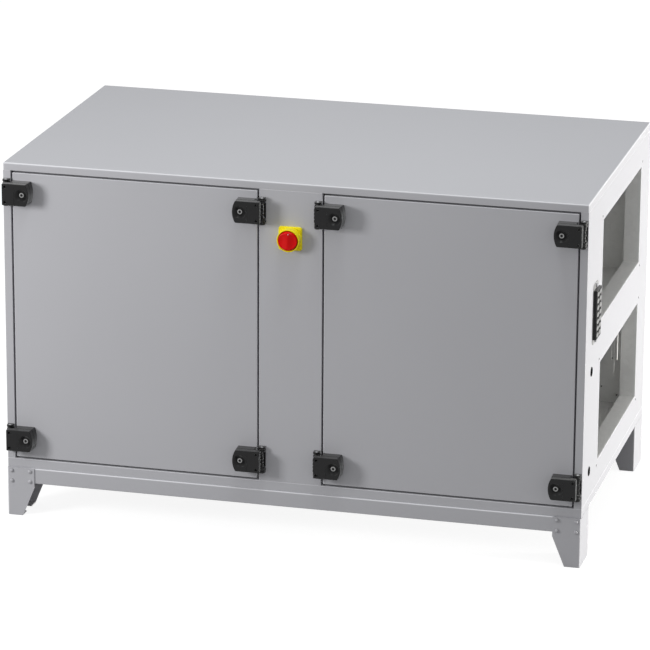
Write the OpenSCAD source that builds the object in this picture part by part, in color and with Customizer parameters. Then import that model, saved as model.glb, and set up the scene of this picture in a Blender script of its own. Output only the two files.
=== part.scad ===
// Air handling unit on four sheet-metal legs. An insulated casing has two swing doors in its front,
// a fixed middle panel with the main switch between them, and two duct openings in each end.
// Millimetres, +Z up, front towards -Y. The origin is the centre of the base of the overall box.

/* [Casing] */
// Width of the casing, end to end
casing_w = 1500; // [1300:10:1900]
// Depth of the casing, front to rear
casing_d = 850; // [780:10:1100]
// Height of the casing above its legs
casing_h = 808; // [780:4:1000]
// Thickness of the insulated panels
panel_t = 42; // [38:1:60]
// Visible edge of the casing above and beside the doors
lip_w = 20; // [20:1:28]
// Visible edge of the casing below the doors
sill_h = 24; // [18:1:30]
// Width of the fixed panel between the doors
middle_w = 162; // [130:2:220]
// Height of the underside of the deck above the casing's base
deck_z = 375; // [368:1:382]
// Thickness of the deck between the two airways
deck_t = 42; // [20:1:50]

/* [Doors] */
// Gap around each door at the casing's front
door_gap = 5; // [5:0.5:8]
// Thickness of the outer leaf of a door
leaf_t = 20; // [15:1:24]
// Gap between the doors' inner core and the casing
core_gap = 8; // [7:1:14]
// Thickness of the door gasket
gasket_t = 4.7; // [3:0.1:8]
// Width of the door gasket
gasket_w = 9; // [6:0.5:9]
// Distance of the gasket from the leaf's edge
gasket_inset = 3; // [1:0.5:3]
// Clearance between the gasket and the casing
gasket_clear = 0.3; // [0.2:0.1:1]

/* [Duct openings] */
// Width of a duct opening
duct_w = 530; // [400:5:560]
// Height of a duct opening
duct_h = 258; // [200:2:270]
// Distance of the openings' centre line behind the casing's front
duct_y = 465; // [420:5:480]
// Height of the lower openings' centre above the casing's base
lower_duct_z = 218; // [210:1:225]
// Distance of the upper openings' centre below the casing's top
upper_duct_drop = 220; // [205:1:228]
// Diameter of the holes for fixing a duct
duct_hole_d = 7; // [5:0.5:9]
// Distance of a fixing hole outside the opening's corner, each way
duct_hole_offset = 12; // [9:1:16]

/* [Cable entries] */
// Diameter of the round cable holes
cable_hole_d = 22; // [16:0.5:32]
// Distance of the cable holes behind the casing's front
cable_hole_y = 83; // [70:1:110]
// Height of the lower cable hole above the casing's base
cable_hole_low_z = 97; // [80:1:120]
// Height of the upper cable hole above the casing's base
cable_hole_high_z = 358; // [340:1:380]
// Width of the cable-entry plate
entry_w = 62; // [40:1:80]
// Height of the cable-entry plate
entry_h = 127; // [90:1:140]
// How far the cable-entry plate stands out from the end
entry_proud = 12; // [6:1:20]
// Distance of the cable-entry plate's centre behind the casing's front
entry_y = 111; // [95:1:125]
// Height of the cable-entry plate's centre above the casing's base
entry_z = 503; // [480:1:560]

/* [Base] */
// Height of the legs
leg_h = 129; // [110:1:200]
// Width of a leg along the casing's end
leg_w = 103; // [80:1:140]
// Sheet thickness of the legs
leg_t = 3; // [2:0.5:5]
// Width of a leg's flange at its top
flange_top_w = 72; // [60:1:90]
// Width of a leg's flange at the floor
flange_foot_w = 40; // [30:1:50]
// Height at which a leg's flange starts to taper
knee_z = 78; // [60:1:85]
// Length of the two feet that turn in at the floor from a leg's flanges
foot_l = 30; // [20:1:34]
// Height of the base rails
rail_h = 41; // [30:1:50]
// Depth of the base rails
rail_d = 40; // [30:1:60]
// Sheet thickness of the base rails
rail_t = 3; // [2:0.5:4]

/* [Hinge locks] */
// Distance of the upper hinge locks below a door's top edge
hinge_top_inset = 48; // [40:1:90]
// Distance of the lower hinge locks above a door's bottom edge
hinge_bottom_inset = 55; // [45:1:90]
// Reach of a cover over the door
cover_reach = 57; // [57:1:70]
// Reach of a cover over the casing
cover_lap = 13; // [11:0.5:14]
// Height of a cover
cover_h = 56; // [54:1:64]
// How far a cover stands out from the door
cover_proud = 40; // [40:1:50]
// Radius of a cover's rounded end
cover_end_r = 54; // [45:1:60]
// Room under a cover for its bracket
bracket_room = 22.5; // [22.5:0.5:25]
// Clear width between a cover's body and the middle of the door gap
cover_side_clear = 4; // [3.5:0.5:6]
// Radius of a bracket's knuckles
knuckle_r = 8.5; // [8:0.1:8.8]
// Radius of the knuckle that moves with the door
door_knuckle_r = 6.5; // [6:0.1:6.9]
// Height of the knuckle that moves with the door
door_knuckle_h = 36; // [24:1:38]
// Radius of a hinge pin
pin_r = 4; // [3:0.1:4.5]
// Radial clearance of a hinge pin
pin_clear = 0.1; // [0.05:0.05:0.3]
// Distance of the pin from the middle of the door gap
pin_side = 12; // [11.5:0.1:12.5]
// Clearance between a bracket's knuckles and the face behind them
knuckle_lift = 0.2; // [0.1:0.1:0.5]
// Gap between a door's knuckle and its bracket's knuckles
knuckle_gap = 1; // [0.5:0.5:2]
// Distance of a bracket's upper end above its middle
bracket_up = 33; // [30:1:38]
// Distance of a bracket's lower end below its middle
bracket_down = 36; // [30:1:40]
// Thickness of a bracket's base plate
bracket_t = 1.6; // [1:0.1:1.8]
// Distance of a lock from the middle of the door gap
lock_side = 38; // [34:1:39]
// Radius of a lock
lock_r = 6.8; // [5:0.1:8]
// Height of a lock above the floor of its dish
lock_h = 4; // [3:0.5:7]
// Width across the corners of a lock's socket
socket_d = 8; // [5:0.5:8]
// Radius of the dish around a lock at the cover's face
dish_r = 17; // [14:0.5:18]
// Radius of the dish at its floor
dish_floor_r = 8.5; // [8.5:0.5:12]
// Depth of the dish around a lock
dish_depth = 8; // [7:0.5:12]

/* [Main switch] */
// Side of the switch's square plate
switch_side = 60; // [60:1:80]
// Thickness of the switch's plate
switch_t = 6; // [3:0.5:8]
// Distance of the switch's centre below the casing's top
switch_drop = 141; // [100:1:400]
// Outer radius of the collar around the knob
collar_r = 29; // [27:0.5:30]
// How far the collar stands out from the middle panel
collar_proud = 28; // [20:1:30]
// Radius of the knob
knob_r = 25; // [20:0.5:25]
// Clearance between the knob and the switch's fixed pieces
knob_clear = 0.5; // [0.3:0.1:1]
// How far the knob's face stands out from the middle panel
knob_proud = 31; // [29:0.5:33]
// Width of the grip across the knob
grip_w = 15; // [8:1:20]
// Height of the grip above the knob's face
grip_h = 4; // [2:0.5:5]

/* [Hidden] */
$fn = 64;
eps = 1;
casing_grey = [0.68, 0.69, 0.70];
zinc_grey = [0.60, 0.62, 0.63];
hinge_black = [0.10, 0.10, 0.11];
steel_silver = [0.75, 0.75, 0.76];
switch_yellow = [0.93, 0.80, 0.08];
switch_red = [0.75, 0.04, 0.04];

base_z = leg_h;
top_z = base_z + casing_h;
floor_z = base_z + panel_t;
ceiling_z = top_z - panel_t;
sill_z = base_z + sill_h;
lip_z = top_z - lip_w;
rear_y = casing_d - panel_t;
deck_low_z = base_z + deck_z;
duct_low_z = base_z + lower_duct_z;
duct_high_z = top_z - upper_duct_drop;
rebate_d = leaf_t + gasket_t + gasket_clear;

middle_x = (casing_w - middle_w) / 2;
middle_step_x = middle_x - (panel_t - lip_w);
leaf_low = [lip_w + door_gap, 0, sill_z + door_gap];
leaf_high = [middle_x - door_gap, leaf_t, lip_z - door_gap];
core_low = [panel_t + core_gap, leaf_t, floor_z + core_gap];
core_high = [middle_step_x - core_gap, panel_t, ceiling_z - core_gap];

outer_gap_x = lip_w + door_gap / 2;
inner_gap_x = middle_x - door_gap / 2;
hinge_zs = [leaf_low[2] + hinge_bottom_inset, leaf_high[2] - hinge_top_inset];
pin_proud = knuckle_r + knuckle_lift;

left_x = -(casing_w + entry_proud) / 2;
front_y = -(casing_d + rail_t + leg_t - cover_proud) / 2;

// Places and shared shapes. The casing's own frame starts at its front left corner on the floor.
module in_casing() { translate([left_x, front_y, 0]) children(); }
module at_right() { translate([casing_w, 0, 0]) mirror([1, 0, 0]) children(); }
module at_rear() { translate([0, casing_d, 0]) mirror([0, 1, 0]) children(); }
module block(low, high) { translate(low) cube(high - low); }

// Rectangular ring in the plane of the door, from low to high, of width w
module ring(low, high, w) {
    difference() {
        block(low, high);
        block(low + [w, -eps, w], high + [-w, eps, -w]);
    }
}

// Casing panels
module top_panel() color(casing_grey) in_casing() {
    union() {
        block([0, 0, lip_z], [casing_w, casing_d, top_z]);
        block([panel_t, rebate_d, ceiling_z], [casing_w - panel_t, rear_y, lip_z]);
    }
}

module floor_panel() color(casing_grey) in_casing() {
    union() {
        block([0, 0, base_z], [casing_w, casing_d, sill_z]);
        block([panel_t, rebate_d, sill_z], [casing_w - panel_t, rear_y, floor_z]);
    }
}

module duct_cut(z) {
    block([-eps, duct_y - duct_w / 2, z - duct_h / 2], [panel_t + eps, duct_y + duct_w / 2, z + duct_h / 2]);
    for (side_y = [-1, 1])
        for (side_z = [-1, 1])
            translate([-eps,
                       duct_y + side_y * (duct_w / 2 + duct_hole_offset),
                       z + side_z * (duct_h / 2 + duct_hole_offset)])
                rotate([0, 90, 0]) cylinder(d = duct_hole_d, h = panel_t + 2 * eps);
}

module end_panel() {
    difference() {
        union() {
            block([0, rebate_d, sill_z], [panel_t, casing_d, lip_z]);
            block([0, 0, sill_z], [lip_w, rebate_d, lip_z]);
        }
        duct_cut(duct_low_z);
        duct_cut(duct_high_z);
    }
}

module left_end_panel() color(casing_grey) in_casing() end_panel();

module right_end_panel() color(casing_grey) in_casing() at_right() {
    difference() {
        end_panel();
        for (z = [cable_hole_low_z, cable_hole_high_z])
            translate([-eps, cable_hole_y, base_z + z])
                rotate([0, 90, 0]) cylinder(d = cable_hole_d, h = panel_t + 2 * eps);
    }
}

module rear_half() { block([panel_t, rear_y, sill_z], [casing_w / 2, casing_d, lip_z]); }
module rear_left_panel() color(casing_grey) in_casing() rear_half();
module rear_right_panel() color(casing_grey) in_casing() at_right() rear_half();

module middle_panel() color(casing_grey) in_casing() {
    union() {
        block([middle_x, 0, sill_z], [casing_w - middle_x, rebate_d, lip_z]);
        block([middle_step_x, rebate_d, floor_z], [casing_w - middle_step_x, panel_t, ceiling_z]);
    }
}

module mid_deck() color(zinc_grey) in_casing() {
    block([panel_t, panel_t + door_gap, deck_low_z], [casing_w - panel_t, rear_y, deck_low_z + deck_t]);
}

// Base: two channel rails and four channel legs
module base_rail() {
    difference() {
        block([leg_t, -rail_t, base_z - rail_h], [casing_w - leg_t, rail_d, base_z]);
        block([leg_t - eps, 0, base_z - rail_h + rail_t], [casing_w - leg_t + eps, rail_d + eps, base_z - rail_t]);
    }
}
module front_base_rail() color(casing_grey) in_casing() base_rail();
module rear_base_rail() color(casing_grey) in_casing() at_rear() base_rail();

module leg_flange() {
    rotate([90, 0, 0]) linear_extrude(leg_t)
        polygon([[0, 0], [flange_foot_w, 0], [flange_top_w, knee_z], [flange_top_w, base_z], [0, base_z]]);
}
module leg() {
    front = -rail_t - leg_t;
    rear = front + leg_w;
    union() {
        block([0, front, 0], [leg_t, rear, base_z]);
        translate([0, front + leg_t, 0]) leg_flange();
        translate([0, rear, 0]) leg_flange();
        block([0, front, 0], [flange_foot_w, front + foot_l, leg_t]);
        block([0, rear - foot_l, 0], [flange_foot_w, rear, leg_t]);
    }
}
module front_left_leg() color(casing_grey) in_casing() leg();
module front_right_leg() color(casing_grey) in_casing() at_right() leg();
module rear_left_leg() color(casing_grey) in_casing() at_rear() leg();
module rear_right_leg() color(casing_grey) in_casing() at_right() at_rear() leg();

// Cable-entry plate on the right end
module cable_entry_plate() color(hinge_black) in_casing() at_right() {
    block([-entry_proud, entry_y - entry_w / 2, base_z + entry_z - entry_h / 2],
          [0, entry_y + entry_w / 2, base_z + entry_z + entry_h / 2]);
}

// Main switch: axis runs out of the middle panel, towards -Y
module on_switch() { in_casing() translate([casing_w / 2, 0, top_z - switch_drop]) rotate([90, 0, 0]) children(); }

module switch_plate() color(switch_yellow) on_switch() {
    union() {
        translate([-switch_side / 2, -switch_side / 2, 0]) cube([switch_side, switch_side, switch_t]);
        difference() {
            cylinder(r = collar_r, h = collar_proud);
            translate([0, 0, switch_t]) cylinder(r = knob_r + knob_clear, h = collar_proud);
        }
    }
}

module switch_knob() color(switch_red) on_switch() {
    union() {
        translate([0, 0, switch_t + knob_clear]) cylinder(r = knob_r, h = knob_proud - switch_t - knob_clear);
        intersection() {
            cylinder(r = knob_r, h = knob_proud + grip_h);
            translate([-grip_w / 2, -knob_r, knob_proud - eps]) cube([grip_w, 2 * knob_r, grip_h + eps]);
        }
    }
}

// Doors
module door_leaf() { block(leaf_low, leaf_high); }
module door_core() { block(core_low, core_high); }
module door_gasket() {
    inset = [gasket_inset, 0, gasket_inset];
    ring([leaf_low[0], leaf_t, leaf_low[2]] + inset,
         [leaf_high[0], leaf_t + gasket_t, leaf_high[2]] - inset, gasket_w);
}
module left_door_leaf() color(casing_grey) in_casing() door_leaf();
module left_door_core() color(zinc_grey) in_casing() door_core();
module left_door_gasket() color(hinge_black) in_casing() door_gasket();
module right_door_leaf() color(casing_grey) in_casing() at_right() door_leaf();
module right_door_core() color(zinc_grey) in_casing() at_right() door_core();
module right_door_gasket() color(hinge_black) in_casing() at_right() door_gasket();

// Hinge locks. Each has its own frame: X from the middle of the door gap towards the door,
// -Y out of the casing, Z from the middle of the cover.
module at_hinges() { for (z = hinge_zs) translate([outer_gap_x, 0, z]) children(); }
module at_catches() { for (z = hinge_zs) translate([inner_gap_x, 0, z]) mirror([1, 0, 0]) children(); }
module on_pin() { translate([-pin_side, -pin_proud, 0]) children(); }

module bracket_knuckle(low, high) {
    on_pin() translate([0, 0, low]) cylinder(r = knuckle_r, h = high - low);
    block([-pin_side - knuckle_r, -pin_proud, low], [-pin_side + knuckle_r, 0, high]);
}
module bracket() {
    half_gap = door_knuckle_h / 2 + knuckle_gap;
    difference() {
        union() {
            block([-pin_side - knuckle_r, -bracket_t, -bracket_down], [-pin_side + knuckle_r, 0, bracket_up]);
            bracket_knuckle(half_gap, bracket_up);
            bracket_knuckle(-bracket_down, -half_gap);
        }
        on_pin() translate([0, 0, -bracket_down - eps])
            cylinder(r = pin_r + pin_clear, h = bracket_up + bracket_down + 2 * eps);
    }
}
module pin() { on_pin() translate([0, 0, -bracket_down]) cylinder(r = pin_r, h = bracket_up + bracket_down); }

module cover_outline() {
    intersection() {
        translate([-cover_lap, -cover_h / 2]) square([cover_lap + cover_reach, cover_h]);
        union() {
            translate([cover_reach - cover_end_r, 0]) circle(r = cover_end_r, $fn = 128);
            translate([-cover_lap, -cover_h / 2]) square([cover_lap + cover_reach - cover_end_r, cover_h]);
        }
    }
}
module cover() {
    difference() {
        rotate([90, 0, 0]) linear_extrude(cover_proud) cover_outline();
        block([-cover_lap - eps, -bracket_room, -cover_h], [cover_side_clear, eps, cover_h]);
        translate([lock_side, -cover_proud + dish_depth, 0]) rotate([90, 0, 0])
            cylinder(r1 = dish_floor_r, r2 = dish_r, h = dish_depth);
    }
}
module hinge_cover() {
    difference() {
        union() {
            cover();
            on_pin() translate([0, 0, -door_knuckle_h / 2]) cylinder(r = door_knuckle_r, h = door_knuckle_h);
            block([-pin_side, -bracket_room - eps, -door_knuckle_h / 2],
                  [cover_side_clear + eps, -pin_proud + door_knuckle_r, door_knuckle_h / 2]);
        }
        on_pin() translate([0, 0, -cover_h]) cylinder(r = pin_r + pin_clear, h = 2 * cover_h);
    }
}
module lock() {
    translate([lock_side, -cover_proud + dish_depth, 0]) rotate([90, 0, 0]) {
        difference() {
            cylinder(r = lock_r, h = lock_h);
            translate([0, 0, lock_h / 2]) cylinder(d = socket_d, h = lock_h, $fn = 6);
        }
    }
}

module left_hinge_brackets() color(hinge_black) in_casing() at_hinges() bracket();
module left_catch_brackets() color(hinge_black) in_casing() at_catches() bracket();
module right_hinge_brackets() color(hinge_black) in_casing() at_right() at_hinges() bracket();
module right_catch_brackets() color(hinge_black) in_casing() at_right() at_catches() bracket();
module left_hinge_pins() color(steel_silver) in_casing() at_hinges() pin();
module left_catch_pins() color(steel_silver) in_casing() at_catches() pin();
module right_hinge_pins() color(steel_silver) in_casing() at_right() at_hinges() pin();
module right_catch_pins() color(steel_silver) in_casing() at_right() at_catches() pin();
module left_hinge_covers() color(hinge_black) in_casing() at_hinges() hinge_cover();
module left_catch_covers() color(hinge_black) in_casing() at_catches() cover();
module right_hinge_covers() color(hinge_black) in_casing() at_right() at_hinges() hinge_cover();
module right_catch_covers() color(hinge_black) in_casing() at_right() at_catches() cover();
module door_locks() {
    at_hinges() lock();
    at_catches() lock();
}
module left_door_locks() color(steel_silver) in_casing() door_locks();
module right_door_locks() color(steel_silver) in_casing() at_right() door_locks();

top_panel();
floor_panel();
left_end_panel();
right_end_panel();
rear_left_panel();
rear_right_panel();
middle_panel();
mid_deck();
front_base_rail();
rear_base_rail();
front_left_leg();
front_right_leg();
rear_left_leg();
rear_right_leg();
cable_entry_plate();
switch_plate();
switch_knob();
left_door_leaf();
left_door_core();
left_door_gasket();
right_door_leaf();
right_door_core();
right_door_gasket();
left_hinge_brackets();
left_catch_brackets();
right_hinge_brackets();
right_catch_brackets();
left_hinge_pins();
left_catch_pins();
right_hinge_pins();
right_catch_pins();
left_hinge_covers();
left_catch_covers();
right_hinge_covers();
right_catch_covers();
left_door_locks();
right_door_locks();
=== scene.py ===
"""Air handling unit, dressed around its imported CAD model. Metres, +Z up, doors towards -Y."""

import math

import bmesh
import bpy
import numpy as np
from mathutils import Matrix, Vector
from mathutils.geometry import tessellate_polygon


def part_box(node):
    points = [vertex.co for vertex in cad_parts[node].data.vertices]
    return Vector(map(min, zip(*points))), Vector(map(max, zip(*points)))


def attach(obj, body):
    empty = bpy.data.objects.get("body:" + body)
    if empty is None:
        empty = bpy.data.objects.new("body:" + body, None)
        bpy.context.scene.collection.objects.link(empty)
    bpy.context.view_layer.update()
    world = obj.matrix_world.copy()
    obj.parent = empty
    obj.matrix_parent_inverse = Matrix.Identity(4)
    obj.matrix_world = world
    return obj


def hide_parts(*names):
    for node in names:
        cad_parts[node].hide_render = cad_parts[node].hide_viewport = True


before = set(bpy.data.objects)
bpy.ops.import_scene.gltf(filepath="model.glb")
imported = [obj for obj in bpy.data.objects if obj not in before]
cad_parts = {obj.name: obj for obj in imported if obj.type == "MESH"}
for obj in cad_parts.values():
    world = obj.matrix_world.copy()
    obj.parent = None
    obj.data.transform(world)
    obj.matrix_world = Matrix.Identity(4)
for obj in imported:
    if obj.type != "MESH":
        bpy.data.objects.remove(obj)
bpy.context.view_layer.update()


# Base rails: two channels folded from coated sheet steel, open towards the middle.
# They carry the casing's long edges and are screwed to the legs.
mm = 0.001
rail_sheet = 3 * mm
rail_bend = 3.6 * mm
weld = 1e-6
sharp_edge = math.radians(40)
# Painted highlight along the silver paint's folds and rounded edges: its gain and floor, and its paler
# colour.
highlight_gain, highlight_floor = 7, 0.08
silver_pale = (0.520, 0.519, 0.546, 1.0)
silver_deep = (0.492, 0.491, 0.517, 1.0)
silver_fold_highlight = (0.730, 0.730, 0.760, 1.0)


class Wire:
    """One socket of a finish's node tree. Sums, differences and products of wires add Math nodes."""

    def __init__(self, socket):
        self.socket = socket

    def node(self, kind, settings, inputs, out=0):
        """Add a node of this kind: its settings first, then a value or a wire for each socket."""
        made = self.socket.id_data.nodes.new(kind)
        for key, value in settings.items():
            setattr(made, key, value)
        for key, value in inputs.items():
            if isinstance(value, Wire):
                self.socket.id_data.links.new(value.socket, made.inputs[key])
            else:
                made.inputs[key].default_value = value
        return Wire(made.outputs[out])

    def math(self, operation, first, second):
        """Math node on two wires or numbers."""
        return self.node("ShaderNodeMath", {"operation": operation}, {0: first, 1: second})

    def __add__(self, other):
        return self.math("ADD", self, other)

    def __mul__(self, other):
        return self.math("MULTIPLY", self, other)

    def __sub__(self, other):
        return self.math("SUBTRACT", self, other)

    def __rsub__(self, other):
        return self.math("SUBTRACT", other, self)

    __radd__ = __add__
    __rmul__ = __mul__


def new_finish(name):
    """An empty finish, and the wire of its Object coordinates."""
    finish = bpy.data.materials.new(name)
    finish.use_nodes = True
    place = finish.node_tree.nodes.new("ShaderNodeTexCoord")
    return finish, Wire(place.outputs["Object"])


def dress(finish, sockets):
    """Set a value or a wire on each named socket of the finish's shader."""
    shader = finish.node_tree.nodes["Principled BSDF"]
    for key, value in sockets.items():
        if isinstance(value, Wire):
            finish.node_tree.links.new(value.socket, shader.inputs[key])
        else:
            shader.inputs[key].default_value = value


def noise(place, scale, detail):
    """Cloudy value from 0 to 1 with features 1 / scale metres wide."""
    return place.node("ShaderNodeTexNoise", {}, {"Vector": place, "Scale": scale, "Detail": detail})


def blend(factor, first, second):
    """Colour between first and second."""
    return factor.node("ShaderNodeMix", {"data_type": "RGBA"}, {0: factor, 6: first, 7: second}, out=2)


def relief(height, depth, strength):
    """Normal of a surface whose height varies by depth metres."""
    sockets = {"Height": height, "Distance": depth, "Strength": strength}
    return height.node("ShaderNodeBump", {}, sockets)


paint, spot = new_finish("silver_paint")
cloud = noise(spot, 2.4, 3.0)
peel = noise(spot, 420.0, 2.0)
# Folds and rounded edges take a paler colour: a painted highlight, not a property of the paint.
fold_highlight = spot.node("ShaderNodeAttribute", {"attribute_name": "fold_highlight"}, {}, out="Fac")
dress(paint, {
    "Base Color": blend(fold_highlight, blend(cloud, silver_deep, silver_pale), silver_fold_highlight),
    "Roughness": 0.52 + 0.08 * cloud + 0.06 * peel,
    "Normal": relief(peel, 0.00012, 0.18),
    "Specular IOR Level": 0.20,
})


def grid_quads(rows, columns, around=True):
    """Quads of a grid stored row by row; around joins the last column to the first."""
    index = np.arange(rows * columns).reshape(rows, columns)
    if around:
        index = np.hstack([index, index[:, :1]])
    corners = (index[:-1, :-1], index[:-1, 1:], index[1:, 1:], index[1:, :-1])
    return np.stack(corners, -1).reshape(-1, 4)


def channel(width, depth, bend, inset, steps=6):
    """Line across a folded channel: in along one flange, a quarter circle of radius bend, across the web,
    the other quarter circle, and out along the second flange, all moved into the sheet by inset."""
    turn = np.linspace(0, math.pi / 2, steps)
    across = bend - (bend - inset) * np.cos(turn)
    inward = bend - (bend - inset) * np.sin(turn)
    side = np.concatenate([[inset], across, width - across[::-1], [width - inset]])
    deep = np.concatenate([[depth], inward, inward[::-1], [depth]])
    return side, deep


def folded_sheet(outer, inner):
    """Closed sheet between two grids of one size: at each station the outer line runs out and the inner
    line runs back as one loop; loops join from station to station, and strips close both ends."""
    rings = np.concatenate([outer, inner[:, ::-1]], axis=1)
    stations, count = rings.shape[:2]
    along = np.arange(count // 2 - 1)
    strip = np.stack([along, along + 1, count - 2 - along, count - 1 - along], -1)
    return rings.reshape(-1, 3), [grid_quads(stations, count), strip, strip + (stations - 1) * count]


def joined(parts):
    """Parts as one: their points in a row, and each group of faces counted on from the points before it."""
    starts = np.cumsum([0] + [len(part[0]) for part in parts[:-1]])
    points = np.concatenate([part[0] for part in parts])
    return points, [group + start for part, start in zip(parts, starts) for group in part[1]]


def paint_fold_highlights(mesh):
    """Attribute on each face corner that weights a painted highlight along folds and rounded edges: 0 on a
    flat face and 1 halfway round a bend, the gain times one less the greatest part of the direction that
    the corner faces, less a floor for nearly flat corners."""
    facing = np.empty(len(mesh.loops) * 3, np.float32)
    mesh.corner_normals.foreach_get("vector", facing)
    greatest = np.abs(facing.reshape(-1, 3)).max(axis=1)
    value = np.clip(highlight_gain * (1 - greatest) - highlight_floor, 0, 1)
    mesh.attributes.new("fold_highlight", "FLOAT", "CORNER").data.foreach_set("value", value)


def put(name, parts, finish, body="casing", nodes=(), folded=True):
    """Join parts, each its points and groups of faces, into one piece; weld it, turn its faces outwards,
    paint a highlight along its folds unless folded is False, give it its finish and let it ride on its
    body."""
    points, groups = joined(parts)
    faces = [face for group in groups for face in group.tolist()]
    mesh = bpy.data.meshes.new(name)
    mesh.from_pydata(points.tolist(), [], faces)
    work = bmesh.new()
    work.from_mesh(mesh)
    bmesh.ops.remove_doubles(work, verts=work.verts, dist=weld)
    bmesh.ops.recalc_face_normals(work, faces=work.faces)
    work.to_mesh(mesh)
    work.free()
    mesh.shade_smooth()
    mesh.set_sharp_from_angle(angle=sharp_edge)
    # folded chooses whether the painted highlight along folds is marked.
    if folded:
        paint_fold_highlights(mesh)
    mesh.materials.append(finish)
    piece = bpy.data.objects.new(name, mesh)
    bpy.context.scene.collection.objects.link(piece)
    piece.modifiers.new("even_shading", "WEIGHTED_NORMAL").keep_sharp = True
    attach(piece, body)
    if nodes:
        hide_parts(*nodes)
    return piece


def rail(node, web_y, inward):
    """Channel from end to end: its line lies in Y and Z and is carried along X."""
    low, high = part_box(node)
    lines = []
    for inset in (0, rail_sheet):
        side, deep = channel(high.z - low.z, high.y - low.y, rail_bend, inset)
        line = np.stack([np.zeros_like(side), web_y + inward * deep, low.z + side], -1)
        lines.append(np.stack([line + [low.x, 0, 0], line + [high.x, 0, 0]]))
    return put(node + "_channel", [folded_sheet(*lines)], paint, nodes=[node])


rail("front_base_rail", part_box("front_base_rail")[0].y, 1)
rail("rear_base_rail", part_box("rear_base_rail")[1].y, -1)


# Legs: four channels folded from the same coated sheet, web in the plane of the casing's end. Their flanges
# taper towards the floor, and each turns in a foot at the bottom. Dome-headed screws hold the front legs to
# their rail, and flush screws hold the rear legs to theirs.
leg_sheet = 3 * mm
leg_bend = 4.5 * mm
knee = 78 * mm
flange_foot = 40 * mm
foot_length = 30 * mm
foot_round = 0.8 * mm
leg_screw_x = np.array([12, 60.5]) * mm
leg_screw_drop = np.array([7.5, 35]) * mm


def rect_loop(low, high, radius, steps=5):
    """Closed line round a rectangle: each corner is a quarter circle of this radius."""
    turn = np.linspace(0, math.pi / 2, steps)
    quarter = np.stack([np.cos(turn), np.sin(turn)], -1) * radius
    a, b = np.array(low) + radius, np.array(high) - radius
    flip = np.array([-1, 1])
    return np.concatenate([
        b + quarter,
        [a[0], b[1]] + quarter[:, ::-1] * flip,
        a - quarter,
        [b[0], a[1]] + quarter[:, ::-1] * -flip,
    ])


def loft(rings, caps=(True, True)):
    """Surface through a stack of closed rings of equal length; a cap closes the first or last ring."""
    rings = np.asarray(rings)
    stations, count = rings.shape[:2]
    groups = [grid_quads(stations, count)]
    ends = np.arange(count)[None]
    if caps[0]:
        groups.append(ends[:, ::-1])
    if caps[1]:
        groups.append(ends + (stations - 1) * count)
    return rings.reshape(-1, 3), groups


def slab(low, high, radius, steps=4, foot=None):
    """Block with rounded edges: a rounded rectangle in X and Y rises in Z, inset by radius (1 - cos t)
    while it climbs the last radius to each face by radius sin t; foot is the lower edges' own radius."""
    foot = radius if foot is None else foot
    turn = np.linspace(0, math.pi / 2, steps)
    inset = np.concatenate([foot * (1 - np.cos(turn[::-1])), radius * (1 - np.cos(turn))])
    leaving = low[2] + foot * (1 - np.sin(turn[::-1]))
    closing = high[2] - radius * (1 - np.sin(turn))
    least = radius * 0.05
    rings = []
    for step, z in zip(inset, np.concatenate([leaving, closing])):
        loop = rect_loop(np.array(low[:2]) + step, np.array(high[:2]) - step, max(radius - step, least))
        rings.append(np.column_stack([loop, np.full(len(loop), z)]))
    return loft(rings)


def turned(profile, count=24):
    """Turned shape about local Z: each radius and height of the profile makes one ring."""
    angle = np.linspace(0, 2 * math.pi, count, endpoint=False)
    round_line = np.stack([np.cos(angle), np.sin(angle), np.zeros(count)], -1)
    rings = [round_line * [r, r, 0] + [0, 0, h] for r, h in profile]
    return loft(rings)


def aimed(part, origin, across, upward, outward):
    """Part moved to origin, with its local X, Y and Z along these directions."""
    turn = np.array([across, upward, outward], float)
    return part[0] @ turn + np.array(origin), part[1]


def leg(node, web_x, inward):
    """Channel standing on the floor: its line in X and Y is carried up, and its flanges shorten below the
    knee; two small plates make the turned-in feet."""
    low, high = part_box(node)
    levels = np.array([low.z, knee, high.z])
    depths = np.array([flange_foot, high.x - low.x, high.x - low.x])
    lines = []
    for inset in (0, leg_sheet):
        stations = []
        for level, depth in zip(levels, depths):
            side, deep = channel(high.y - low.y, depth, leg_bend, inset)
            line = [web_x + inward * deep, low.y + side, np.full_like(side, level)]
            stations.append(np.stack(line, -1))
        lines.append(np.stack(stations))
    foot_x = sorted([web_x + inward * leg_sheet * 0.5, web_x + inward * flange_foot])
    parts = [folded_sheet(*lines)]
    for start in (low.y + leg_sheet * 0.5, high.y - leg_sheet * 0.5 - foot_length):
        parts.append(slab((foot_x[0], start, 0), (foot_x[1], start + foot_length, leg_sheet), foot_round))
    return put(node + "_channel", parts, paint, nodes=[node])


dome_line = ((3.9, -1), (3.9, 0.5), (4.8, 0.8), (4.9, 2.0), (4.5, 3.3), (3.5, 4.3), (2.0, 4.9), (0.5, 5.1))
flush_line = ((4.6, -1), (4.6, -0.1), (4.0, 0), (1.6, 0), (1.2, -0.8))
dome = turned([(r * mm, h * mm) for r, h in dome_line])
flush = turned([(r * mm, h * mm) for r, h in flush_line])
leg_heads = []
for node, side in (("front_left_leg", 1), ("front_right_leg", -1),
                   ("rear_left_leg", 1), ("rear_right_leg", -1)):
    low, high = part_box(node)
    web = low.x if side > 0 else high.x
    leg(node, web, side)
    front = node.startswith("front")
    for x in web + side * leg_screw_x:
        for z in high.z - leg_screw_drop:
            if front:
                leg_heads.append(aimed(dome, (x, low.y, z), (1, 0, 0), (0, 0, 1), (0, -1, 0)))
            else:
                leg_heads.append(aimed(flush, (x, high.y, z), (-1, 0, 0), (0, 0, 1), (0, 1, 0)))
put("leg_screws", leg_heads, paint, folded=False)


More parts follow.
